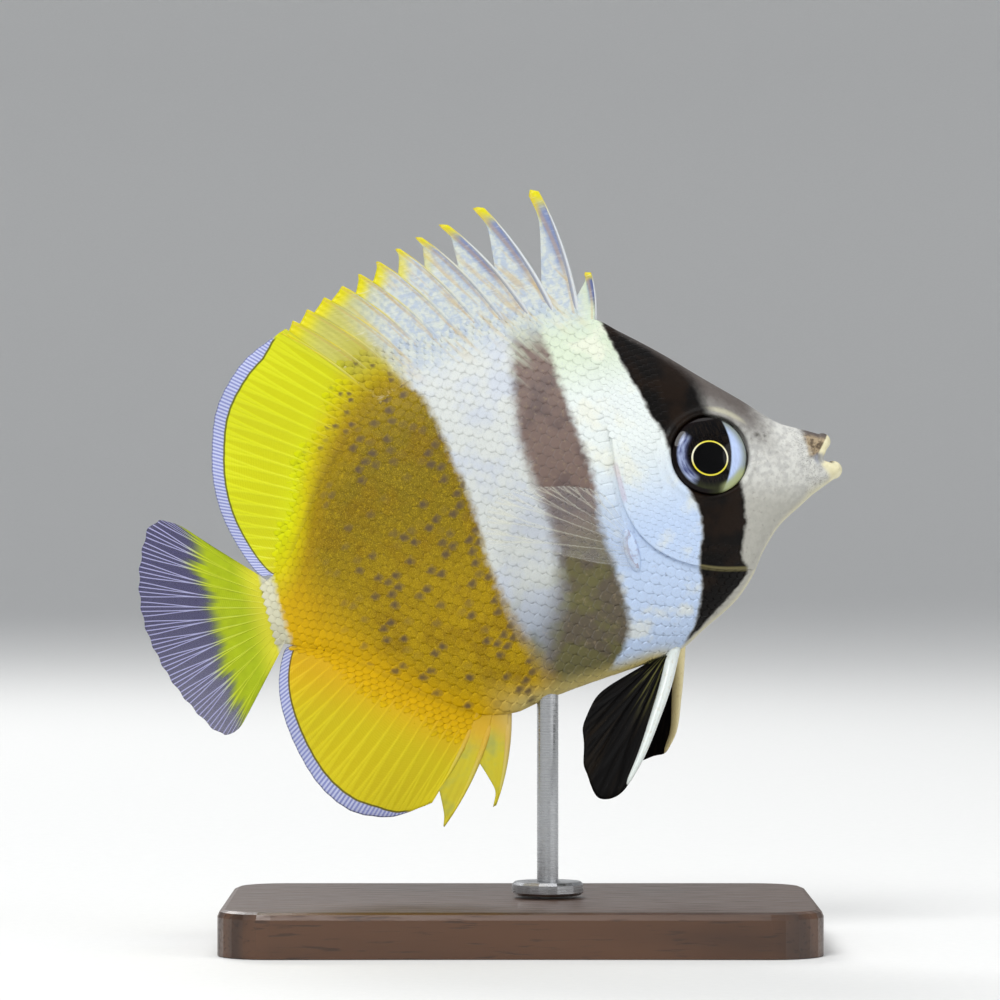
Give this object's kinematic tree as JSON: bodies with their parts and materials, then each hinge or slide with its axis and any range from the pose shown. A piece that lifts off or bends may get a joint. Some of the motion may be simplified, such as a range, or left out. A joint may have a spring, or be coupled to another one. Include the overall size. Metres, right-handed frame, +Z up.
{
  "type": "kleins butterflyfish",
  "caption": "Still, life-size museum model of a young Klein's butterflyfish swimming nose-up, held over a flat base by a rod.",
  "frame": {"origin": "centre of the underside of the base", "axes": "+X ahead of the fish, level, +Y to its left, +Z up; the fish itself is pitched 15 degrees nose-up"},
  "size_m": [0.0787, 0.046, 0.0842],
  "materials": {
    "face_skin": "satin, moist-looking skin, white and grey with a black-brown bar through the eye",
    "scaled_skin": "satin overlapping scales, white, grey-brown and ochre bars with dark dots",
    "eye": "clear glossy cornea over a black pupil with a thin gold ring",
    "yellow_fin": "satin, thin ribbed membrane, yellow with a pale blue edge",
    "clear_fin": "thin, half-clear ribbed membrane",
    "black_fin": "satin, dark ribbed membrane with a white leading spine",
    "stand_wood": "oiled dark hardwood",
    "stand_steel": "fine brushed"
  },
  "bodies": {
    "root": {"head": "face_skin", "lower_jaw": "face_skin", "torso": "scaled_skin", "tail_stalk": "scaled_skin", "eye_left": "eye", "eye_right": "eye", "dorsal_fin_spiny": "yellow_fin", "dorsal_fin_soft": "yellow_fin", "anal_fin": "yellow_fin", "caudal_fin": "clear_fin", "pectoral_fin_left": "clear_fin", "pectoral_fin_right": "clear_fin", "pelvic_fin_left": "black_fin", "pelvic_fin_right": "black_fin", "stand_base": "stand_wood", "stand_rod": "stand_steel"}
  },
  "joints": []
}
